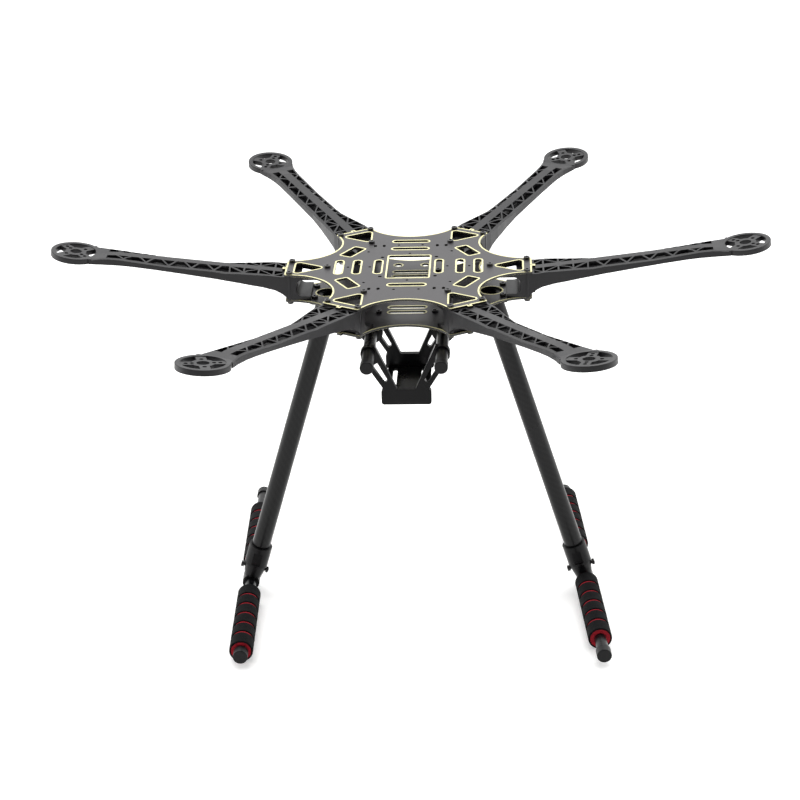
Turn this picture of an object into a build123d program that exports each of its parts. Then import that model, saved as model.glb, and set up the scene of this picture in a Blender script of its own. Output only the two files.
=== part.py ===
from build123d import *
import math
import os

# Hexacopter frame: two clamping plates, six lattice arms, tube landing gear and an
# under-slung pair of rails with a payload cradle.  Millimetres, +Z up, floor at z = 0,
# origin under the middle of the plates, +X along the pair of side arms.

os.makedirs("parts", exist_ok=True)

# ---- overall -------------------------------------------------------------------
ARMS = 6
MOTOR_R = 275.0            # plate centre to motor axis (550 mm wheelbase)
TOP_Z = 303.5              # top face of the top plate above the floor
PLATE_T = 1.6
STACK = 20.4               # height of the arm root between the plates
TOP_UNDER = TOP_Z - PLATE_T
BOTTOM_TOP = TOP_UNDER - STACK
BOTTOM_UNDER = BOTTOM_TOP - PLATE_T

# ---- plates ----------------------------------------------------------------------
FLANGE_R = 101.5           # flat end of each plate lobe
SCALLOP_R, SCALLOP_AT = 40.0, 114.0
NUB_W, NUB_R = 4.0, 104.3
LOBE_CORNER = 2.0
WINDOW = (34.0, 52.0)
CROSS_SLOTS_Y = (60.9, 42.9, -41.9)
CROSS_SLOT = (30.0, 4.8)
SIDE_SLOTS_X = (25.1, 42.6, 57.5)
SIDE_SLOT = (31.0, 5.4)
CORNER_SLOT = (22.5, 10.0)
CORNER_SLOT_AT = (48.2, 36.6)
TRI_IN, TRI_OUT, TRI_HALF, TRI_CORNER = 72.6, 93.6, 12.0, 2.6
CONTROLLER = 45.0          # flight-controller hole square
SMALL_HOLE_R = 1.2
LOWER_SLOTS_Y = (-35.5, -46.3)
LEG_HOLE_X, LEG_HOLE_R = 68.0, 8.8
LEG_SCREW_DX, LEG_SCREW_Y = 9.5, 12.5

# ---- arm screws ------------------------------------------------------------------
SCREW_IN = 67.0
SCREW_OUT, SCREW_SIDE = 97.5, 14.4
M3_R, M3_CLEAR = 1.5, 1.6
HEAD_R, HEAD_H, HEX_R = 2.6, 2.1, 1.3

# ---- arms (u outward, v sideways, w relative to the top plate's upper face) ------
ARM_IN, LOWER_FLANGE_IN = 61.0, 80.5
FLANGE_T = 3.0
ARCH_END, ARCH_R = 92.0, 5.5
ROOT_HALF = 17.0
SPINE_RISE_FROM, SPINE_SLOPE = 104.6, 6.84
SPINE_HALF = 3.6
ROOF_FALL = 0.45
ROOF_ROOT, ROOF_TIP = (117.0, 15.0), (252.0, 13.0)
ROOF_KNEES = (151.0, 200.0)
SKIN = 1.8
WALL = 2.0
STRUT = 1.4
LATTICE_START, LATTICE_END = 103.2, 251.0
CROSS_RIBS = (110.8, 123.1, 135.2, 147.2)
VEE_FIRST, VEE_PITCH, VEE_HALF = 160.1, 18.6, 5.6
RING_TOP, RING_H, RING_TILT = 17.8, 4.5, 8.0
RING_R, RING_BORE = 20.5, 16.5
SPOKE_W, SPOKE_T, SPOKE_DROP = 7.6, 4.0, 0.5
HUB_HOLE, HUB_R = 4.7, 8.6
MOTOR_PCD_LONG = (16.0, 25.0)
MOTOR_PCD_CROSS = 19.0

# ---- landing gear ------------------------------------------------------------------
FOAM_R, FOAM_RED_R, FOAM_BORE = 10.0, 8.3, 5.06
FOAM_L, FOAM_SEGMENTS, GROOVE_W = 96.0, 6, 2.2
SKID_X, SKID_Z = 147.8, FOAM_R
SKID_R, SKID_WALL = 5.0, 1.0
SKID_FRONT, SKID_BACK = -131.0, 168.0
SKID_TOE = {"left": 2.2, "right": 4.4}
SIDE_SIGN = {"left": -1, "right": 1}
CAP_R, CAP_DEPTH, CAP_END = 6.2, 9.0, 2.0
LEG_R, LEG_WALL = 8.0, 1.2
LEG_TOP_X = 65.0           # where the leg axis meets the lower plate's underside
LEG_SEAT = 16.0            # lower end of the leg above the skid axis
T_SLEEVE_R, T_SLEEVE_HALF = 7.4, 7.0
T_SOCKET_R, T_HEIGHT, T_CONE_TOP = 10.1, 36.0, 17.0
T_POCKET = (7.5, 12.0, 1.0)
T_BOLT_AT = 12.8
FOAM_START = {
    ("left", "front"): -123.0,
    ("left", "back"): 34.0,
    ("right", "front"): -105.0,
    ("right", "back"): 60.0,
}

# ---- rails and cradle --------------------------------------------------------------
RAIL_X, RAIL_Z = 29.0, TOP_Z - 37.6
RAIL_R, RAIL_WALL = 5.0, 1.0
RAIL_FRONT, RAIL_BACK = -123.0, 77.0
RAIL_CAP_R, RAIL_CAP_DEPTH = 5.4, 8.0
HANGERS_Y = {"front": -47.0, "back": 47.0}
HANGER_T, HANGER_RING_R, BUSH_R = 10.0, 9.2, 7.2
HANGER_PAD = (19.0, 10.0, 3.0)
HANGER_SCREW_X = 6.2
RUNNING_FIT = 0.06
CRADLE_T = 5.0
CRADLE_FRONT_Y, CRADLE_BACK_Y = -96.0, -23.0
CRADLE_BLOCK = (40.0, 13.0)
CRADLE_FLOOR = TOP_Z - 81.5
CRADLE_EYE_R = 6.5
CRADLE_BASE_T = 2.0
CRADLE_BASE_W, CRADLE_SLOT_X, CRADLE_SLOT_W = 36.0, 11.7, 3.6


def save(shape, name):
    export_step(shape, "parts/" + name + ".step")


def polar(radius, angle):
    return radius * math.cos(math.radians(angle)), radius * math.sin(math.radians(angle))


def cylinder_on(origin, direction, radius, start, end):
    """Cylinder along direction from start to end, measured from origin."""
    plane = Plane(origin=origin, z_dir=direction)
    return plane * Pos(0, 0, start) * Cylinder(
        radius, end - start, align=(Align.CENTER, Align.CENTER, Align.MIN))


def tube_on(origin, direction, radius, wall, start, end):
    outer = cylinder_on(origin, direction, radius, start, end)
    return outer - cylinder_on(origin, direction, radius - wall, start - 1, end + 1)


def slot_at(x, y, length, width, turn=0.0):
    return Pos(x, y) * Rot(0, 0, turn) * SlotOverall(length, width)


def group(shapes):
    return Compound(children=list(shapes))


# ---- plates ----------------------------------------------------------------------
def plate_outline():
    outline = RegularPolygon(FLANGE_R, ARMS, major_radius=False, rotation=30)
    for k in range(ARMS):
        outline -= Pos(*polar(SCALLOP_AT, 60 * k + 30)) * Circle(SCALLOP_R)
    outline = fillet(outline.vertices(), LOBE_CORNER)
    for k in range(ARMS):
        nub = Pos((NUB_R + 95.0) / 2, 0) * Rectangle(NUB_R - 95.0, NUB_W)
        outline += Rot(0, 0, 60 * k) * nub
    return outline


def lobe_triangle(grow=0.0):
    tri = Polygon((TRI_IN - 3.0, 0), (TRI_OUT, -TRI_HALF - 1.5), (TRI_OUT, TRI_HALF + 1.5),
                  align=None)
    tri = fillet(tri.vertices(), TRI_CORNER)
    return offset(tri, grow) if grow else tri


OUTER_SCREWS = ((SCREW_OUT, SCREW_SIDE), (SCREW_OUT, -SCREW_SIDE))
TOP_SCREWS = ((SCREW_IN, 0), *OUTER_SCREWS)


def round_arms(points):
    """The same (u, v) points on every arm."""
    return [Rot(0, 0, 60 * k) * Pos(u, v) for k in range(ARMS) for u, v in points]


def plate_common(screws, lobes):
    face = plate_outline()
    for k in lobes:
        face -= Rot(0, 0, 60 * k) * lobe_triangle()
    for spot in screws:
        face -= spot * Circle(M3_CLEAR)
    return face


def make_top_plate():
    face = plate_common(round_arms(TOP_SCREWS), range(ARMS))
    face -= fillet(Rectangle(*WINDOW).vertices(), 1.2)
    for y in CROSS_SLOTS_Y:
        face -= slot_at(0, y, *CROSS_SLOT)
    holes = [(0, 31.5), (0, -31.5), (32, 0), (-32, 0), (50, 0), (-50, 0)]
    for sx in (1, -1):
        for x in SIDE_SLOTS_X:
            face -= slot_at(sx * x, 0, *SIDE_SLOT, turn=90)
        for sy in (1, -1):
            x, y = CORNER_SLOT_AT
            window = fillet(Rectangle(*CORNER_SLOT).vertices(), 1.2)
            face -= Pos(sx * x, sy * y) * Rot(0, 0, -60 * sx * sy) * window
            holes += [(sx * 35, sy * 36), (sx * 10, sy * 52)]
            face -= Pos(sx * CONTROLLER / 2, sy * CONTROLLER / 2) * Circle(M3_CLEAR)
            for sx_slot in (22.5, 30.0):
                face -= slot_at(sx * sx_slot, sy * 50.4, 5.2, 2.6, turn=90)
    for x, y in holes:
        face -= Pos(x, y) * Circle(SMALL_HOLE_R)
    return Pos(0, 0, TOP_UNDER) * extrude(face, PLATE_T)


def leg_screw_points():
    for sx in (1, -1):
        for dx in (-LEG_SCREW_DX, LEG_SCREW_DX):
            for y in (-LEG_SCREW_Y, LEG_SCREW_Y):
                yield sx * (LEG_HOLE_X + dx), y


def hanger_screw_points():
    for sx in (1, -1):
        for dx in (-HANGER_SCREW_X, HANGER_SCREW_X):
            for y in HANGERS_Y.values():
                yield sx * RAIL_X + dx, y


def make_bottom_plate():
    face = plate_common(round_arms(OUTER_SCREWS), (1, 2, 4, 5))
    for y in LOWER_SLOTS_Y:
        face -= slot_at(0, y, *CROSS_SLOT)
        face -= slot_at(0, -y, *CROSS_SLOT)
    for sx in (1, -1):
        face -= Pos(sx * LEG_HOLE_X, 0) * Circle(LEG_HOLE_R)
        face -= Pos(sx * 11.6, 62.5) * Circle(3.2)
    for x, y in list(leg_screw_points()) + list(hanger_screw_points()):
        face -= Pos(x, y) * Circle(M3_CLEAR)
    return Pos(0, 0, BOTTOM_UNDER) * extrude(face, PLATE_T)


# ---- arms --------------------------------------------------------------------------
ARM_HALF_WIDTHS = ((ARM_IN, ROOT_HALF), (106, ROOT_HALF), (120, 15.8), (140, 13.2), (160, 11.5),
                   (238, 11.5), (247, 12.3), (253, 13.6), (262, 16.4))
ARM_LOW = -PLATE_T - STACK
ARM_UNDERSIDE = ((262, 11.6), (256, 10.5), (247, 9.1), (237, 8.0), (227, 6.8), (208, 3.9),
                 (188, 0.5), (169, -2.9), (149, -6.3), (130, -9.4), (120, -10.8), (110, -13.2),
                 (105.5, -15.4), (102.5, -17.6), (100.5, -19.6), (98.8, ARM_LOW))
FLOOR_SKIN = 1.2


def side_prism(points):
    """Solid from a (u, w) outline, wide enough for the whole arm."""
    return extrude(Plane.XZ * Polygon(*points, align=None), 30, both=True)


def plan_prism(inset):
    pts = [(u, h - inset) for u, h in ARM_HALF_WIDTHS]
    outline = pts + [(u, -h) for u, h in reversed(pts)]
    return extrude(Polygon(*outline, align=None), 60, both=True)


def spine_w(u):
    return -PLATE_T + (u - SPINE_RISE_FROM) * math.tan(math.radians(SPINE_SLOPE))


def ring_w(u):
    """Height of the motor ring's tilted top plane."""
    return RING_TOP + (u - MOTOR_R) * math.tan(math.radians(RING_TILT))


def roof_face(a, b, low, start, end):
    """Everything above the plane through three points, from start to end along the arm."""
    normal = (b - a).cross(low - a)
    plane = Plane(origin=a, x_dir=b - a, z_dir=normal if normal.Z > 0 else normal * -1)
    slab = plane * Box(300, 90, 20, align=(Align.CENTER, Align.CENTER, Align.MIN))
    gate = Pos((start + end) / 2, SPINE_HALF + 20, 0) * Box(end - start + 0.02, 40, 80)
    return slab & gate


def roof_cutters(drop):
    """Everything above the sloping roof faces beside the spine, lowered by drop."""
    first, last = ROOF_KNEES
    near, far = (Vector(u, SPINE_HALF, spine_w(u)) for u in ROOF_KNEES)
    slope = Vector(0, 20.0, -20.0 * ROOF_FALL)
    root = Vector(*ROOF_ROOT, spine_w(ROOF_ROOT[0]))
    tip = Vector(*ROOF_TIP, ring_w(ROOF_TIP[0]))
    faces = roof_face(near, far, near + slope, first, last)
    faces += roof_face(root, near, near + slope, first - 60, first)
    faces += roof_face(far, tip, far + slope, last, last + 60)
    faces = Pos(0, 0, -drop) * faces
    return [faces, mirror(faces, Plane.XZ)]


def strut(a, b):
    """Thin bar between two plan points of the lattice."""
    dx, dy = b[0] - a[0], b[1] - a[1]
    turn = math.degrees(math.atan2(dy, dx))
    bar = Rectangle(math.hypot(dx, dy) + 2, STRUT)
    return Pos((a[0] + b[0]) / 2, (a[1] + b[1]) / 2) * Rot(0, 0, turn) * bar


def rim_v(u):
    """Inner edge of the rim beside the lattice."""
    for (u0, h0), (u1, h1) in zip(ARM_HALF_WIDTHS, ARM_HALF_WIDTHS[1:]):
        if u0 <= u <= u1:
            return h0 + (h1 - h0) * (u - u0) / (u1 - u0) - WALL - 0.1
    return ARM_HALF_WIDTHS[-1][1] - WALL


def lattice_side():
    """Openings on one side of the spine: braced cells at the root, then a run of vees."""
    inner = SPINE_HALF + 0.4
    stops = (LATTICE_START, 106, 120, 140, 160, 238, 247, LATTICE_END)
    field = Polygon((LATTICE_START, inner), *[(u, rim_v(u)) for u in stops],
                    (LATTICE_END, inner), align=None)
    bars = [((u, inner), (u, rim_v(u))) for u in CROSS_RIBS]
    nodes = (LATTICE_START - 4.0, *CROSS_RIBS)
    for i, (a, b) in enumerate(zip(nodes, nodes[1:])):
        spine, rim = (b, a) if i % 2 else (a, b)
        bars.append(((spine, inner), (rim, rim_v(max(rim, LATTICE_START)))))
    for i in range(5):
        u = VEE_FIRST + i * VEE_PITCH
        bars += [((u, rim_v(u)), (u + s * VEE_HALF, inner)) for s in (1, -1)]
    for a, b in bars:
        field -= strut(a, b)
    return field


def motor_mount():
    """Motor ring with a recessed, drilled cross, tilted with the arm."""
    ring = Pos(0, 0, -RING_H) * extrude(Circle(RING_R) - Circle(RING_BORE), RING_H)
    ring = fillet(ring.edges().filter_by(GeomType.CIRCLE).sort_by(Axis.Z)[-2:], 0.5)
    spokes = Rot(0, 0, 45) * Rectangle(2 * RING_BORE + 2, SPOKE_W)
    spokes += Rot(0, 0, -45) * Rectangle(2 * RING_BORE + 2, SPOKE_W)
    spokes += Circle(HUB_R)
    spokes -= Circle(HUB_HOLE)
    for pcd in MOTOR_PCD_LONG:
        for s in (1, -1):
            spokes -= Pos(*polar(s * pcd / 2, -45)) * Circle(M3_CLEAR)
    for s in (1, -1):
        spokes -= Pos(*polar(s * MOTOR_PCD_CROSS / 2, 45)) * Circle(M3_CLEAR)
    spokes = extrude(spokes & Circle(RING_BORE + 1), SPOKE_T)
    mount = ring + Pos(0, 0, -SPOKE_DROP - SPOKE_T) * spokes
    return Pos(MOTOR_R, 0, RING_TOP) * Rot(0, -RING_TILT, 0) * mount


def arm_body():
    """Clamped root, sloping spine and closed underside, before the hollow is taken out."""
    meet = 240.0
    outline = [(ARM_IN, -PLATE_T), (SPINE_RISE_FROM, -PLATE_T), (meet, spine_w(meet)),
               (257, ring_w(257)), (262, ring_w(262)), *ARM_UNDERSIDE, (ARM_IN, ARM_LOW)]
    body = side_prism(outline) & plan_prism(0.0)
    arch = Pos(ARCH_END - 30, 0, ARM_LOW + STACK / 2) * Box(60, 60, STACK - 2 * FLANGE_T)
    arch = fillet([e for e in arch.edges().filter_by(Axis.Y) if e.center().X > 90], ARCH_R)
    body -= arch
    return body - Pos(LOWER_FLANGE_IN - 20, 0, ARM_LOW) * Box(40, 60, 2 * FLANGE_T + 1)


def make_arm():
    body = arm_body()
    floor = [(u, w + FLOOR_SKIN) for u, w in ARM_UNDERSIDE if 105 < u < 255]
    ceiling = [(LATTICE_START - 1, -PLATE_T - 2.0), (106, -PLATE_T - 2.0),
               (252.5, spine_w(240) - SKIN)]
    hollow = side_prism([*ceiling, *floor, (LATTICE_START - 1, -12.6)]) & plan_prism(WALL)
    for cutter in roof_cutters(SKIN):
        hollow -= cutter
    for cutter in roof_cutters(0.0):
        body -= cutter
    body -= hollow
    side = lattice_side()
    lattice = extrude(side, 40, both=True) + extrude(mirror(side, Plane.XZ), 40, both=True)
    body -= lattice & side_prism([(256, 40), (102, 40), (102, -12.0), *reversed(floor)])
    body -= Pos(0, 0, -PLATE_T - FLANGE_T - 0.5) * extrude(lobe_triangle(0.6), 5.0)
    middle = ARM_LOW + STACK / 2
    for u, v in OUTER_SCREWS:
        body += Pos(u, v, middle) * Cylinder(2.9, STACK)
    body += Pos(SCREW_IN, 0, -PLATE_T - 4.0) * Cylinder(4.2, 8.0)
    for u, v in TOP_SCREWS:
        body -= Pos(u, v, middle) * Cylinder(M3_CLEAR, STACK + 2)
    bore = Pos(MOTOR_R, 0, RING_TOP) * Rot(0, -RING_TILT, 0) * Cylinder(RING_BORE, 30)
    return Pos(0, 0, TOP_Z) * (body - bore + motor_mount())


# ---- fasteners -----------------------------------------------------------------------
def socket_screw(length):
    """Cap screw standing on its seat at z = 0, head up, shank down."""
    screw = Pos(0, 0, HEAD_H / 2) * Cylinder(HEAD_R, HEAD_H)
    top_edge = screw.edges().sort_by(Axis.Z)[-1]
    screw = fillet(top_edge, 0.5)
    screw -= Pos(0, 0, HEAD_H - 1.0) * extrude(RegularPolygon(HEX_R, 6), 2)
    return screw + Pos(0, 0, -length / 2) * Cylinder(M3_R, length)


def spots(points, z, screw):
    return group(Pos(x, y, z) * screw for x, y in points)


# ---- landing gear --------------------------------------------------------------------
def leg_axis(side):
    sx = SIDE_SIGN[side]
    foot = Vector(sx * SKID_X, 0, SKID_Z)
    head = Vector(sx * LEG_TOP_X, 0, BOTTOM_UNDER)
    return foot, (head - foot).normalized(), (head - foot).length


def skid_direction(side):
    toe = math.radians(SKID_TOE[side])
    return Vector(-math.sin(toe), math.cos(toe), 0)


def make_leg_mount(side):
    sx = SIDE_SIGN[side]
    foot, up, reach = leg_axis(side)
    pad = Rectangle(2 * LEG_SCREW_DX + 8, 2 * LEG_SCREW_Y + 8)
    pad = Pos(sx * LEG_HOLE_X, 0) * fillet(pad.vertices(), 3.5)
    for dx in (-LEG_SCREW_DX, LEG_SCREW_DX):
        for y in (-LEG_SCREW_Y, LEG_SCREW_Y):
            pad -= Pos(sx * LEG_HOLE_X + dx, y) * Circle(M3_CLEAR)
    mount = Pos(0, 0, BOTTOM_UNDER - 3.0) * extrude(pad, 3.0)
    socket = cylinder_on(foot, up, LEG_R + 2.4, reach - 26.0, reach + 10)
    below = Pos(sx * LEG_HOLE_X, 0, BOTTOM_UNDER - 30) * Box(80, 80, 60)
    mount += socket & below
    return mount - cylinder_on(foot, up, LEG_R, reach - 40, reach + 20)


def make_leg(side):
    foot, up, reach = leg_axis(side)
    return tube_on(foot, up, LEG_R, LEG_WALL, LEG_SEAT, reach - 2.6)


def make_t_connector(side):
    foot, up, reach = leg_axis(side)
    along = skid_direction(side)
    taper = Plane(origin=foot, z_dir=up) * Pos(0, 0, 2) * Cone(
        T_SLEEVE_R - 0.6, T_SOCKET_R, T_CONE_TOP - 2,
        align=(Align.CENTER, Align.CENTER, Align.MIN))
    body = taper + cylinder_on(foot, up, T_SOCKET_R, T_CONE_TOP, T_HEIGHT)
    width, height, depth = T_POCKET
    body -= Plane(origin=foot, x_dir=(0, 1, 0), z_dir=up) * Pos(
        -T_SOCKET_R, 0, 25.0) * Box(2 * depth, width, height)
    body += cylinder_on(foot, along, T_SLEEVE_R, -T_SLEEVE_HALF, T_SLEEVE_HALF)
    body -= cylinder_on(foot, up, LEG_R, LEG_SEAT, T_HEIGHT + 5)
    body -= cylinder_on(foot, along, SKID_R, -40, 40)
    return body - cylinder_on(*t_bolt_axis(side), M3_CLEAR, -20, 20)


def t_bolt_axis(side):
    foot, up, reach = leg_axis(side)
    return foot + up * T_BOLT_AT, up.cross(Vector(0, 1, 0))


def make_t_bolt(side):
    origin, across = t_bolt_axis(side)
    seat = T_SOCKET_R - 0.15
    left = across if across.X < 0 else -across
    bolt = cylinder_on(origin, left, M3_R, -seat - 2.4, seat)
    return bolt + cylinder_on(origin, left, HEAD_R, seat, seat + 2.4)


def make_t_nut(side):
    origin, across = t_bolt_axis(side)
    right = across if across.X > 0 else -across
    seat = T_SOCKET_R - 0.15
    nut = Plane(origin=origin, z_dir=right) * Pos(0, 0, seat) * extrude(RegularPolygon(3.0, 6), 2.0)
    return nut - cylinder_on(origin, right, M3_R, 0, 20)


def make_skid_tube(side):
    foot = leg_axis(side)[0]
    return tube_on(foot, skid_direction(side), SKID_R, SKID_WALL, SKID_FRONT, SKID_BACK)


def end_cap(origin, outward, end, inner_r, outer_r, depth):
    """Push-on cap over a tube end lying at distance end along outward."""
    cap = cylinder_on(origin, outward, outer_r, end - depth + CAP_END, end + CAP_END)
    rim = cap.edges().filter_by(GeomType.CIRCLE).sort_by(
        lambda e: (e.center() - Vector(origin)).dot(Vector(outward)))[-1]
    cap = fillet(rim, 0.8)
    return cap - cylinder_on(origin, outward, inner_r, end - depth, end)


def make_skid_cap(side, place):
    foot, along = leg_axis(side)[0], skid_direction(side)
    if place == "front":
        return end_cap(foot, along * -1, -SKID_FRONT, SKID_R, CAP_R, CAP_DEPTH)
    return end_cap(foot, along, SKID_BACK, SKID_R, CAP_R, CAP_DEPTH)


def make_foam(side, place):
    foot, along = leg_axis(side)[0], skid_direction(side)
    start = FOAM_START[side, place]
    foam = cylinder_on(foot, along, FOAM_R, start, start + FOAM_L)
    pitch = FOAM_L / FOAM_SEGMENTS
    for i in range(1, FOAM_SEGMENTS):
        middle = start + i * pitch
        groove = cylinder_on(foot, along, FOAM_R + 1, middle - GROOVE_W / 2, middle + GROOVE_W / 2)
        core = cylinder_on(foot, along, FOAM_RED_R, middle - GROOVE_W, middle + GROOVE_W)
        foam -= groove - core
    return foam - cylinder_on(foot, along, FOAM_BORE, start - 1, start + FOAM_L + 1)


# ---- rails and cradle -------------------------------------------------------------------
def make_hanger(sx, y):
    pad = Rectangle(HANGER_PAD[0], HANGER_PAD[1])
    pad = fillet(pad.vertices(), 2.5)
    for dx in (-HANGER_SCREW_X, HANGER_SCREW_X):
        pad -= Pos(dx, 0) * Circle(M3_CLEAR)
    hanger = Pos(sx * RAIL_X, y, BOTTOM_UNDER - HANGER_PAD[2]) * extrude(pad, HANGER_PAD[2])
    drop = BOTTOM_UNDER - 1.0 - RAIL_Z
    web = Pos(sx * RAIL_X, y, RAIL_Z + drop / 2) * Box(7.0, HANGER_T, drop)
    origin = (sx * RAIL_X, y, RAIL_Z)
    ring = cylinder_on(origin, (0, 1, 0), HANGER_RING_R, -HANGER_T / 2, HANGER_T / 2)
    return hanger + web + ring - cylinder_on(origin, (0, 1, 0), BUSH_R, -20, 20)


def make_bushing(sx, y):
    origin = (sx * RAIL_X, y, RAIL_Z)
    half = HANGER_T / 2
    bush = cylinder_on(origin, (0, 1, 0), BUSH_R, -half - 1.0, half + 1.0)
    bush += cylinder_on(origin, (0, 1, 0), BUSH_R + 1.0, -half - 1.0, -half)
    bush += cylinder_on(origin, (0, 1, 0), BUSH_R + 1.0, half, half + 1.0)
    return bush - cylinder_on(origin, (0, 1, 0), RAIL_R + RUNNING_FIT, -20, 20)


def make_rail(sx):
    return tube_on((sx * RAIL_X, 0, RAIL_Z), (0, 1, 0), RAIL_R, RAIL_WALL, RAIL_FRONT, RAIL_BACK)


def make_rail_cap(sx, place):
    origin = (sx * RAIL_X, 0, RAIL_Z)
    if place == "front":
        return end_cap(origin, Vector(0, -1, 0), -RAIL_FRONT, RAIL_R, RAIL_CAP_R, RAIL_CAP_DEPTH)
    return end_cap(origin, Vector(0, 1, 0), RAIL_BACK, RAIL_R, RAIL_CAP_R, RAIL_CAP_DEPTH)


def cradle_side():
    """Right half of a cradle frame seen from the front, w relative to the top plate."""
    rail = RAIL_Z - TOP_Z
    bar = Polygon((23.9, -31.0), (7.2, -68.9), (7.2, -75.0), (18.7, -75.0), (18.7, -67.2),
                  (35.2, -41.0), (34.6, -34.2), align=None)
    eye = Pos(RAIL_X, rail) * Circle(CRADLE_EYE_R)
    slot = Polygon((22.4, -45.2), (14.6, -60.2), (16.9, -63.6), (26.6, -48.2), align=None)
    return bar + eye - fillet(slot.vertices(), 0.9) - Pos(RAIL_X, rail) * Circle(
        RAIL_R + RUNNING_FIT)


def make_cradle_frame(front_y):
    """Two rail eyes, slotted side bars and a solid foot across the bottom."""
    foot_w = CRADLE_FLOOR - TOP_Z + CRADLE_BLOCK[1] / 2
    foot = Pos(0, foot_w) * fillet(Rectangle(*CRADLE_BLOCK).vertices(), 2.4)
    half = extrude(Plane.XZ * cradle_side(), CRADLE_T)
    frame = half + mirror(half, Plane.YZ) + extrude(Plane.XZ * foot, CRADLE_T)
    return Pos(0, front_y + CRADLE_T, TOP_Z) * frame - cradle_tongues()


def cradle_tongues():
    length = CRADLE_BACK_Y - CRADLE_FRONT_Y - CRADLE_T + 6.0
    middle = (CRADLE_BACK_Y + CRADLE_FRONT_Y + CRADLE_T) / 2
    return Pos(0, middle, CRADLE_FLOOR + CRADLE_BASE_T / 2) * Box(16, length, CRADLE_BASE_T)


def make_cradle_base():
    front, back = CRADLE_FRONT_Y + CRADLE_T, CRADLE_BACK_Y
    face = Pos(0, (front + back) / 2) * Rectangle(CRADLE_BASE_W, back - front)
    for sx in (1, -1):
        face -= Pos(sx * CRADLE_SLOT_X, (front + back) / 2) * SlotOverall(
            back - front - 10, CRADLE_SLOT_W, rotation=90)
    return Pos(0, 0, CRADLE_FLOOR) * extrude(face, CRADLE_BASE_T) + cradle_tongues()


# ---- write every piece -------------------------------------------------------------------
save(make_top_plate(), "top_plate")
save(make_bottom_plate(), "bottom_plate")

arm = make_arm()
for number in range(ARMS):
    save(Rot(0, 0, 60 * number) * arm, "arm_%d" % (number + 1))

upper = [(s.position.X, s.position.Y) for s in round_arms(TOP_SCREWS)]
lower = [(s.position.X, s.position.Y) for s in round_arms(OUTER_SCREWS)]
save(spots(upper, TOP_Z, socket_screw(8.0)), "top_arm_screws")
save(spots(lower, BOTTOM_UNDER, Rot(180, 0, 0) * socket_screw(8.0)), "bottom_arm_screws")
save(spots(leg_screw_points(), BOTTOM_TOP, socket_screw(4.6)), "leg_mount_screws")
save(spots(hanger_screw_points(), BOTTOM_TOP, socket_screw(4.6)), "hanger_screws")

for side in SIDE_SIGN:
    save(make_leg_mount(side), "leg_mount_" + side)
    save(make_leg(side), "leg_tube_" + side)
    save(make_t_connector(side), "t_connector_" + side)
    save(make_skid_tube(side), "skid_tube_" + side)
    for place in ("front", "back"):
        save(make_skid_cap(side, place), "skid_cap_%s_%s" % (side, place))
        save(make_foam(side, place), "foam_sleeve_%s_%s" % (side, place))
    sx = SIDE_SIGN[side]
    save(make_rail(sx), "rail_" + side)
    for place, y in HANGERS_Y.items():
        save(make_hanger(sx, y), "rail_hanger_%s_%s" % (side, place))
        save(make_bushing(sx, y), "rail_bushing_%s_%s" % (side, place))
        save(make_rail_cap(sx, place), "rail_cap_%s_%s" % (side, place))

save(group(make_t_bolt(side) for side in SIDE_SIGN), "t_connector_bolts")
save(group(make_t_nut(side) for side in SIDE_SIGN), "t_connector_nuts")

save(make_cradle_frame(CRADLE_FRONT_Y), "cradle_front_frame")
save(make_cradle_frame(CRADLE_BACK_Y), "cradle_back_frame")
save(make_cradle_base(), "cradle_base")
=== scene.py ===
import math

import bmesh
import bpy
from mathutils import Matrix, Vector


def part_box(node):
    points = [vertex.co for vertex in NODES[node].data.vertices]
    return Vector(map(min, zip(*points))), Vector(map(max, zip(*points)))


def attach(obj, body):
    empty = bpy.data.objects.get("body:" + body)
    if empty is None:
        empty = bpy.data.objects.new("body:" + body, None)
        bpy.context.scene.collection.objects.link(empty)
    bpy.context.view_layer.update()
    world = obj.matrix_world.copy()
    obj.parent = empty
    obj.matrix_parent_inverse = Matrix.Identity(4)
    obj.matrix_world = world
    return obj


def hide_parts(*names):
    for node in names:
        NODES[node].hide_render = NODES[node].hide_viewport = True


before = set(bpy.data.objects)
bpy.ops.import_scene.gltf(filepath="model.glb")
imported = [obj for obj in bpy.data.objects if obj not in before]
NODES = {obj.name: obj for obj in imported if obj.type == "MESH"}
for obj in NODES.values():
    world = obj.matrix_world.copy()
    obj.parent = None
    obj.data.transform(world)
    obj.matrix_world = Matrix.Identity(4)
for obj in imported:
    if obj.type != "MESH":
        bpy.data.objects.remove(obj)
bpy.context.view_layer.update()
SCENE = bpy.context.scene
MM = 0.001

# ---- colours (linear) ------------------------------------------------------------------
BOARD_BLACK = (0.016, 0.014, 0.016)
BOARD_GLINT = (0.030, 0.027, 0.030)
BOARD_CUT = (0.020, 0.018, 0.014)
RIM_PALE = (0.86, 0.82, 0.46)
RIM_DEEP = (0.60, 0.54, 0.25)
NYLON_BLACK = (0.0075, 0.0070, 0.0085)
NYLON_WORN = (0.022, 0.021, 0.024)
FITTING_BLACK = (0.0045, 0.0045, 0.005)
FITTING_WORN = (0.016, 0.015, 0.016)
CARBON_DARK = (0.0025, 0.0025, 0.003)
CARBON_LIGHT = (0.0065, 0.0065, 0.007)
STEEL_BLACK = (0.012, 0.011, 0.012)
STEEL_WORN = (0.16, 0.155, 0.15)
FOAM_BLACK = (0.0030, 0.0030, 0.0034)
FOAM_FLECK = (0.008, 0.008, 0.009)
FOAM_RED = (0.42, 0.008, 0.020)
FOAM_RED_DEEP = (0.22, 0.004, 0.012)
RUBBER_BLACK = (0.005, 0.005, 0.005)
FLOOR_PALE = (0.90, 0.90, 0.89)
FLOOR_PALER = (0.92, 0.92, 0.915)
WHITE = (1.0, 1.0, 1.0)

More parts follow.
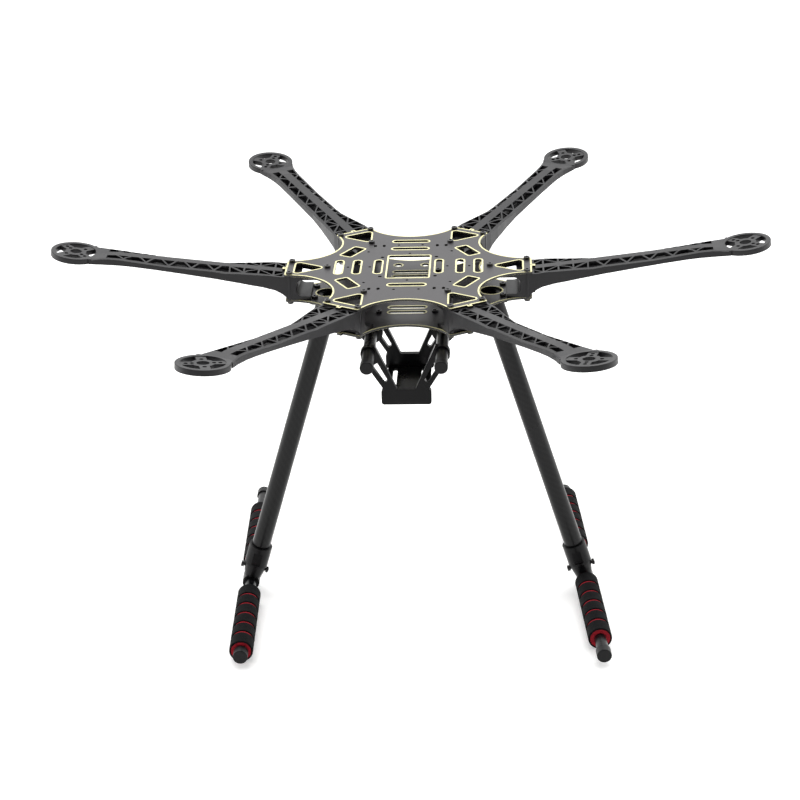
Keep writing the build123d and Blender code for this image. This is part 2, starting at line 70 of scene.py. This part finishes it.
# ---- sizes -----------------------------------------------------------------------------
LEG_TUBE_R, SLIM_TUBE_R = 8 * MM, 5 * MM
TOW, TWILL = 1.6 * MM, 4                      # width of a carbon tow, tows in one repeat

RIM_WIDTH = 1.4 * MM                          # pale band round the plates' cut edges
SMALL_LOOP = 17 * MM                          # screw holes shorter than this have no band
RIM_PROUD, RIM_SUNK, RIM_INSET = 0.06 * MM, 0.25 * MM, 0.04 * MM
SHARPEST_MITER = 0.35

FOAM_SEGMENTS = 6
FOAM_RED_R, GROOVE_FLOOR_R = 8.4 * MM, 9.0 * MM
FOAM_BORE_R = 5.06 * MM
FOAM_ROUND = 0.7 * MM
FOAM_END_STEP = 0.2 * MM
GROOVE = 2.5 * MM
AROUND = 72                                   # faces round a sleeve

FLOOR_HALF, FLOOR_DROP = 12.0, 0.2 * MM


# ---- materials -------------------------------------------------------------------------
MIX_FACTOR, MIX_A, MIX_B, MIX_RESULT = 0, 6, 7, 2     # a Mix node's sockets for colours


class Nodes:
    """Small helper for wiring one material's node tree."""

    def __init__(self, name):
        self.mat = bpy.data.materials.new(name)
        self.mat.use_nodes = True
        self.tree = self.mat.node_tree
        self.shader = self.tree.nodes["Principled BSDF"]
        self.place = self.tree.nodes.new("ShaderNodeTexCoord").outputs["Object"]

    def feed(self, value, socket):
        """Link an output to a socket, or set the socket to a plain number, vector or colour."""
        if isinstance(value, bpy.types.NodeSocket):
            self.tree.links.new(value, socket)
        elif socket.type == "RGBA":
            socket.default_value = (*value, 1.0)
        else:
            socket.default_value = value

    def add(self, kind, **values):
        """Add a node: in_NAME feeds an input, any other name sets a property."""
        node = self.tree.nodes.new("ShaderNode" + kind)
        for key, value in values.items():
            if key.startswith("in_"):
                self.feed(value, node.inputs[key[3:].replace("_", " ")])
            else:
                setattr(node, key, value)
        return node

    def set(self, **values):
        """Feed the shader's own inputs."""
        for key, value in values.items():
            self.feed(value, self.shader.inputs[key.replace("_", " ")])

    def math(self, operation, a, b=0.0):
        node = self.add("Math", operation=operation)
        self.feed(a, node.inputs[0])
        self.feed(b, node.inputs[1])
        return node.outputs[0]

    def mix(self, factor, a, b):
        node = self.add("Mix", data_type="RGBA")
        for index, value in ((MIX_FACTOR, factor), (MIX_A, a), (MIX_B, b)):
            self.feed(value, node.inputs[index])
        return node.outputs[MIX_RESULT]

    def span(self, value, low, high, to_low=0.0, to_high=1.0):
        return self.add("MapRange", in_Value=value, in_From_Min=low, in_From_Max=high,
                        in_To_Min=to_low, in_To_Max=to_high).outputs["Result"]

    def noise(self, scale, detail=4.0, rough=0.6):
        return self.add("TexNoise", in_Vector=self.place, in_Scale=scale, in_Detail=detail,
                        in_Roughness=rough).outputs["Fac"]

    def wave(self, axis, scale, distortion=0.0):
        return self.add("TexWave", wave_type="BANDS", bands_direction=axis,
                        in_Vector=self.place, in_Scale=scale,
                        in_Distortion=distortion).outputs["Fac"]

    def bump(self, height, strength, distance, bevel=0.0):
        node = self.add("Bump", in_Strength=strength, in_Distance=distance, in_Height=height)
        if bevel:
            edge = self.add("Bevel", samples=4, in_Radius=bevel)
            self.feed(edge.outputs["Normal"], node.inputs["Normal"])
        self.set(Normal=node.outputs["Normal"])


def moulded(name, dark, worn, rough, grain, bevel, specular):
    """Moulded plastic or coated metal: fine grain, uneven sheen, lighter rubbed patches."""
    m = Nodes(name)
    patches = m.noise(scale=38.0, detail=5.0, rough=0.65)
    fine = m.noise(scale=grain, detail=3.0, rough=0.55)
    rubbed = m.math("MULTIPLY", m.span(patches, 0.50, 0.78), m.span(fine, 0.35, 0.75))
    m.set(Base_Color=m.mix(rubbed, dark, worn),
          Roughness=m.span(patches, 0.3, 0.7, rough - 0.07, rough + 0.09),
          Specular_IOR_Level=specular)
    m.bump(fine, strength=0.18, distance=0.2 * MM, bevel=bevel)
    return m.mat


def laminate():
    """Black solder mask over glass cloth, with darker cut edges that show the layers."""
    m = Nodes("laminate")
    cloth = m.math("MULTIPLY", m.wave("X", scale=420.0), m.wave("Y", scale=420.0))
    patches = m.noise(scale=26.0, detail=5.0, rough=0.6)
    mask = m.mix(m.span(patches, 0.35, 0.75), BOARD_BLACK, BOARD_GLINT)
    cut = m.mix(m.wave("Z", scale=1600.0, distortion=1.5), BOARD_BLACK, BOARD_CUT)
    normal = m.add("SeparateXYZ", in_Vector=m.add("NewGeometry").outputs["Normal"])
    facing_up = m.span(m.math("ABSOLUTE", normal.outputs["Z"]), 0.4, 0.5)
    m.set(Base_Color=m.mix(facing_up, cut, mask),
          Roughness=m.span(patches, 0.3, 0.7, 0.30, 0.42),
          Specular_IOR_Level=0.5)
    m.bump(cloth, strength=0.10, distance=0.08 * MM)
    return m.mat


def rim():
    """Bare, pale glass cloth, grainy, with deeper yellow patches."""
    m = Nodes("laminate_rim")
    grain = m.noise(scale=700.0, detail=3.0, rough=0.6)
    patches = m.noise(scale=30.0, detail=4.0, rough=0.6)
    grained = m.mix(grain, RIM_DEEP, RIM_PALE)
    m.set(Base_Color=m.mix(m.span(patches, 0.35, 0.8), RIM_PALE, grained),
          Roughness=m.span(grain, 0.3, 0.7, 0.38, 0.55))
    m.bump(grain, strength=0.2, distance=0.05 * MM)
    return m.mat


def carbon(name, centre, turn, radius):
    """Clear-coated twill cloth wound round a tube, turned so that its axis is local z."""
    m = Nodes(name)
    shifted = m.add("Mapping", vector_type="POINT", in_Vector=m.place, in_Location=-centre)
    turned = m.add("VectorRotate", rotation_type="EULER_XYZ", invert=True,
                   in_Vector=shifted.outputs[0], in_Rotation=turn)
    local = m.add("SeparateXYZ", in_Vector=turned.outputs[0])
    angle = m.math("ARCTAN2", local.outputs["Y"], local.outputs["X"])
    tows_round = TWILL * round(2 * math.pi * radius / TOW / TWILL)
    across = m.math("MULTIPLY", angle, tows_round / (2 * math.pi))
    along = m.math("MULTIPLY", local.outputs["Z"], 1 / TOW)
    diagonal = m.math("ADD", m.math("FLOOR", across), m.math("FLOOR", along))
    over = m.math("GREATER_THAN", m.math("FRACT", m.math("MULTIPLY", diagonal, 1 / TWILL)), 0.4)
    strands = m.noise(scale=1500.0, detail=2.0, rough=0.5)
    sheen = m.noise(scale=30.0, detail=3.0, rough=0.5)
    m.set(Base_Color=m.mix(over, CARBON_DARK, m.mix(strands, CARBON_DARK, CARBON_LIGHT)),
          Roughness=m.span(sheen, 0.3, 0.7, 0.26, 0.38),
          Coat_Weight=0.16, Coat_Roughness=0.16, Specular_IOR_Level=0.16)
    m.bump(over, strength=0.06, distance=0.04 * MM)
    return m.mat


def foam(name, dark, light, speckle, cover, rough, specular, sheen=0.0):
    """Closed-cell foam: fine cells in the bump, speckled colour, dull all over."""
    m = Nodes(name)
    cells = m.add("TexVoronoi", in_Vector=m.place, in_Scale=1400.0).outputs["Distance"]
    m.set(Base_Color=m.mix(m.span(m.noise(*speckle), *cover), dark, light),
          Roughness=m.span(m.noise(scale=60.0), 0.3, 0.7, *rough),
          Specular_IOR_Level=specular, Sheen_Weight=sheen)
    m.bump(cells, strength=0.45, distance=0.25 * MM)
    return m.mat


def floor_paper():
    m = Nodes("floor_paper")
    m.set(Base_Color=m.mix(m.noise(scale=3.0), FLOOR_PALE, FLOOR_PALER), Roughness=0.9,
          Emission_Color=WHITE, Emission_Strength=0.30)
    return m.mat


LAMINATE = laminate()
RIM = rim()
NYLON = moulded("arm_nylon", NYLON_BLACK, NYLON_WORN, rough=0.38, grain=900.0,
                bevel=0.4 * MM, specular=0.34)
FITTING = moulded("fitting_plastic", FITTING_BLACK, FITTING_WORN, rough=0.34, grain=1100.0,
                  bevel=0.4 * MM, specular=0.15)
CAP = moulded("cap_plastic", FITTING_BLACK, FITTING_WORN, rough=0.38, grain=1100.0,
              bevel=0.4 * MM, specular=0.2)
CRADLE = moulded("cradle_plastic", FITTING_BLACK, FITTING_WORN, rough=0.30, grain=1000.0,
                 bevel=0.5 * MM, specular=0.13)
STEEL = moulded("black_steel", STEEL_BLACK, STEEL_WORN, rough=0.26, grain=1600.0,
                bevel=0.2 * MM, specular=0.5)
RUBBER = moulded("bushing_rubber", RUBBER_BLACK, FITTING_WORN, rough=0.60, grain=1500.0,
                 bevel=0.3 * MM, specular=0.3)
FOAM_SKIN = foam("foam_black", FOAM_BLACK, FOAM_FLECK, speckle=(900.0, 2.0, 0.5),
                 cover=(0.4, 0.75), rough=(0.80, 0.95), specular=0.10, sheen=0.01)
FOAM_CORE = foam("foam_red", FOAM_RED_DEEP, FOAM_RED, speckle=(500.0, 3.0, 0.6),
                 cover=(0.3, 0.7), rough=(0.75, 0.9), specular=0.25)


# ---- CAD nodes -------------------------------------------------------------------------
# words in a node's name, its material and its slot; the first row that fits is taken
FINISHES = (
    (("top_plate", "bottom_plate"), LAMINATE, "laminate"),
    (("screws", "bolts", "nuts"), STEEL, "black_steel"),
    (("bushing",), RUBBER, "bushing_rubber"),
    (("_cap_",), CAP, "cap_plastic"),
    (("cradle",), CRADLE, "cradle_plastic"),
    (("leg_mount", "t_connector", "rail_hanger"), FITTING, "fitting_plastic"),
    (("arm_",), NYLON, "arm_nylon"),
)


def paint(node, material):
    mesh = NODES[node].data
    mesh.materials.clear()
    mesh.materials.append(material)


def paint_fittings():
    for name in NODES:
        for words, material, slot in FINISHES:
            if any(word in name for word in words):
                paint(name, material)
                break


def axis_of(node):
    """Centre and unit direction of a tube node's long axis, from its own mesh."""
    low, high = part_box(node)
    middle = (low + high) / 2
    points = [v.co - middle for v in NODES[node].data.vertices]
    far = max(points, key=lambda p: p.length)
    ends = [p for p in points if abs(p.normalized().dot(far.normalized())) > 0.9]
    plus = [p for p in ends if p.dot(far) > 0 and p.length > 0.8 * far.length]
    minus = [p for p in ends if p.dot(far) < 0 and p.length > 0.8 * far.length]
    a = sum(plus, Vector()) / len(plus)
    b = sum(minus, Vector()) / len(minus)
    return middle, (a - b).normalized()


def paint_tubes():
    """Each tube gets its own carbon, wound round its own axis."""
    for side in ("left", "right"):
        middle, direction = axis_of("leg_tube_" + side)
        direction = direction if direction.z > 0 else -direction
        turn = (0.0, math.atan2(direction.x, direction.z), 0.0)
        paint("leg_tube_" + side, carbon("leg_carbon_" + side, middle, turn, LEG_TUBE_R))
        for kind in ("skid_tube_", "rail_"):
            middle, direction = axis_of(kind + side)
            direction = direction if direction.y > 0 else -direction
            turn = (math.radians(-90), 0.0, math.atan2(-direction.x, direction.y))
            paint(kind + side, carbon(kind + "carbon_" + side, middle, turn, SLIM_TUBE_R))


def add_piece(name, bm, materials, body):
    """Turn a bmesh into a piece that rides on a body."""
    bmesh.ops.recalc_face_normals(bm, faces=bm.faces)
    mesh = bpy.data.meshes.new(name)
    bm.to_mesh(mesh)
    bm.free()
    for material in materials:
        mesh.materials.append(material)
    obj = bpy.data.objects.new(name, mesh)
    SCENE.collection.objects.link(obj)
    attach(obj, body)
    return obj


# ---- pale rims on the plates -----------------------------------------------------------
def border_loops(node, facing):
    """Closed loops of (point, inward normal) round one flat face of a plate."""
    bm = bmesh.new()
    bm.from_mesh(NODES[node].data)
    bmesh.ops.remove_doubles(bm, verts=bm.verts, dist=1e-6)
    bm.normal_update()
    inward, following = {}, {}
    for edge in bm.edges:
        flat = [f for f in edge.link_faces if f.normal.z * facing > 0.9]
        if len(edge.link_faces) != 2 or len(flat) != 1:
            continue
        a, b = edge.verts
        along = (b.co - a.co).normalized()
        side = Vector((-along.y, along.x, 0))
        if (flat[0].calc_center_median() - a.co).dot(side) < 0:
            a, b, side = b, a, -side
        following[a.index] = b.index
        inward[a.index] = side
    points = {v.index: v.co.copy() for v in bm.verts}
    bm.free()
    loops = []
    while following:
        current = next(iter(following))
        loop = []
        while current in following:
            loop.append((points[current], inward[current]))
            current = following.pop(current)
        loops.append(loop)
    return loops


def length_of(loop):
    return sum((loop[i][0] - loop[i - 1][0]).length for i in range(len(loop)))


def rim_band(bm, loop, facing):
    """One closed band just proud of the face, along a loop."""
    up = Vector((0, 0, facing))
    rings = []
    for i, (point, after) in enumerate(loop):
        miter = loop[i - 1][1] + after
        miter = miter / max(SHARPEST_MITER, miter.dot(after))
        outer, inner = point + miter * RIM_INSET, point + miter * RIM_WIDTH
        rings.append([bm.verts.new(p) for p in (
            outer - up * RIM_SUNK, outer + up * RIM_PROUD, inner + up * RIM_PROUD,
            inner - up * RIM_SUNK)])
    for i, ring in enumerate(rings):
        before = rings[i - 1]
        for j in range(4):
            k = (j + 1) % 4
            bm.faces.new((before[j], before[k], ring[k], ring[j]))


def add_rims():
    for plate in ("top_plate", "bottom_plate"):
        for facing, word in ((1, "upper"), (-1, "lower")):
            bm = bmesh.new()
            for loop in border_loops(plate, facing):
                if length_of(loop) > SMALL_LOOP:
                    rim_band(bm, loop, facing)
            add_piece("%s_%s_rims" % (plate, word), bm, [RIM], "frame")


# ---- foam sleeves ----------------------------------------------------------------------
def arc(t, r, radius, start, end, steps=4):
    """Rounded corner points (t, r) about a centre, angles in degrees."""
    angles = [math.radians(start + (end - start) * i / steps) for i in range(steps + 1)]
    return [(t + radius * math.cos(a), r + radius * math.sin(a)) for a in angles]


def foam_profile(length, outer):
    """Closed (along, radius, is_red) outline of a grooved two-layer sleeve."""
    half = length / 2
    pitch = length / FOAM_SEGMENTS
    outline = [(-half, FOAM_BORE_R, True), (-half + FOAM_END_STEP, FOAM_RED_R, False)]
    for i in range(FOAM_SEGMENTS):
        first, last = i == 0, i == FOAM_SEGMENTS - 1
        a = -half + i * pitch + (0 if first else GROOVE / 2)
        b = -half + (i + 1) * pitch - (0 if last else GROOVE / 2)
        left = arc(a + FOAM_ROUND, outer - FOAM_ROUND, FOAM_ROUND, 180, 90)
        right = arc(b - FOAM_ROUND, outer - FOAM_ROUND, FOAM_ROUND, 90, 0)
        if not first:
            outline.append((a, GROOVE_FLOOR_R, False))
        outline += [(t, r, False) for t, r in left + right]
        if not last:
            outline.append((b, GROOVE_FLOOR_R, True))
    outline += [(half - FOAM_END_STEP, FOAM_RED_R, True), (half, FOAM_BORE_R, True)]
    return outline


def foam_sleeve(name, tube):
    """The outline above, turned round the tube's axis."""
    direction = axis_of(tube)[1]
    low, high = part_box(name)
    centre = (low + high) / 2
    outer = (high.z - low.z) / 2
    length = (high.y - low.y - 2 * outer * abs(direction.x)) / abs(direction.y)
    upward = Vector((0, 0, 1))
    sideways = upward.cross(direction).normalized()
    outline = foam_profile(length, outer)
    spokes = [sideways * math.cos(a) + upward * math.sin(a)
              for a in (2 * math.pi * k / AROUND for k in range(AROUND))]
    bm = bmesh.new()
    rings = [[bm.verts.new(centre + direction * t + spoke * r) for spoke in spokes]
             for t, r, red in outline]
    for i, ring in enumerate(rings):
        following = rings[(i + 1) % len(rings)]
        for k in range(AROUND):
            n = (k + 1) % AROUND
            face = bm.faces.new((ring[k], ring[n], following[n], following[k]))
            face.material_index = 1 if outline[i][2] else 0
    sleeve = add_piece(name + "_soft", bm, [FOAM_SKIN, FOAM_CORE],
                       name.replace("foam_sleeve", "foam"))
    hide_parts(name)


# ---- floor, light, camera --------------------------------------------------------------
WORLD_FROM, WORLD_TO = -0.5, 0.75             # where the pale world brightens, along y
FRONT_LIGHT, BACK_LIGHT = 0.30, 1.35

# name, place, what it points at, width, height, watts
LIGHT_BOXES = (
    ("top_box", (0.0, 0.6, 1.9), (0, 0, 0.2), 2.4, 1.6, 36.0),
    ("left_box", (-2.2, 0.1, 0.9), (0, 0, 0.15), 1.1, 1.8, 16.0),
    ("right_box", (2.3, 0.2, 0.9), (0, 0, 0.15), 1.1, 1.8, 14.0),
)

PLATE_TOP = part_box("top_plate")[1].z
CAMERA_PLACE = Vector((0.0744, -1.5343, PLATE_TOP + 0.5715))
YAW, PITCH, ROLL = (math.radians(a) for a in (-3.17, 24.253, -1.858))
FOCAL, SENSOR = 89.24, 36.0


def make_floor():
    bm = bmesh.new()
    bmesh.ops.create_grid(bm, x_segments=1, y_segments=1, size=FLOOR_HALF)
    mesh = bpy.data.meshes.new("floor")
    bm.to_mesh(mesh)
    bm.free()
    mesh.materials.append(floor_paper())
    floor = bpy.data.objects.new("floor", mesh)
    floor.location.z = -FLOOR_DROP
    SCENE.collection.objects.link(floor)


def studio_world():
    """Pale studio, brightest behind the object and dimmer in front of it."""
    world = bpy.data.worlds.new("studio")
    world.use_nodes = True
    tree = world.node_tree
    coords = tree.nodes.new("ShaderNodeTexCoord")
    split = tree.nodes.new("ShaderNodeSeparateXYZ")
    ramp = tree.nodes.new("ShaderNodeMapRange")
    ramp.interpolation_type = "SMOOTHSTEP"
    for key, value in (("From Min", WORLD_FROM), ("From Max", WORLD_TO),
                       ("To Min", FRONT_LIGHT), ("To Max", BACK_LIGHT)):
        ramp.inputs[key].default_value = value
    tree.links.new(coords.outputs["Generated"], split.inputs[0])
    tree.links.new(split.outputs["Y"], ramp.inputs["Value"])
    tree.links.new(ramp.outputs["Result"], tree.nodes["Background"].inputs["Strength"])
    tree.nodes["Background"].inputs["Color"].default_value = (*WHITE, 1.0)
    SCENE.world = world


def light_box(name, place, target, width, height, watts):
    data = bpy.data.lights.new(name, "AREA")
    data.shape = "RECTANGLE"
    data.size, data.size_y = width, height
    data.energy = watts
    light = bpy.data.objects.new(name, data)
    light.location = place
    aim = Vector(target) - Vector(place)
    light.rotation_euler = aim.to_track_quat("-Z", "Y").to_euler()
    SCENE.collection.objects.link(light)


def make_camera():
    forward = Vector((math.sin(YAW) * math.cos(PITCH), math.cos(YAW) * math.cos(PITCH),
                      -math.sin(PITCH)))
    flat_right = Vector((math.cos(YAW), -math.sin(YAW), 0.0))
    flat_up = flat_right.cross(forward)
    right = flat_right * math.cos(ROLL) + flat_up * math.sin(ROLL)
    up = flat_up * math.cos(ROLL) - flat_right * math.sin(ROLL)
    lens = bpy.data.cameras.new("camera")
    lens.lens, lens.sensor_width = FOCAL, SENSOR
    camera = bpy.data.objects.new("camera", lens)
    turn = Matrix((right, up, -forward)).transposed()
    camera.matrix_world = Matrix.Translation(CAMERA_PLACE) @ turn.to_4x4()
    SCENE.collection.objects.link(camera)
    SCENE.camera = camera


# ---- the scene -------------------------------------------------------------------------
paint_tubes()
paint_fittings()
add_rims()
for side in ("left", "right"):
    for place in ("front", "back"):
        foam_sleeve("foam_sleeve_%s_%s" % (side, place), "skid_tube_" + side)

make_floor()
studio_world()
for box in LIGHT_BOXES:
    light_box(*box)
SCENE.view_settings.view_transform = "Standard"
make_camera()
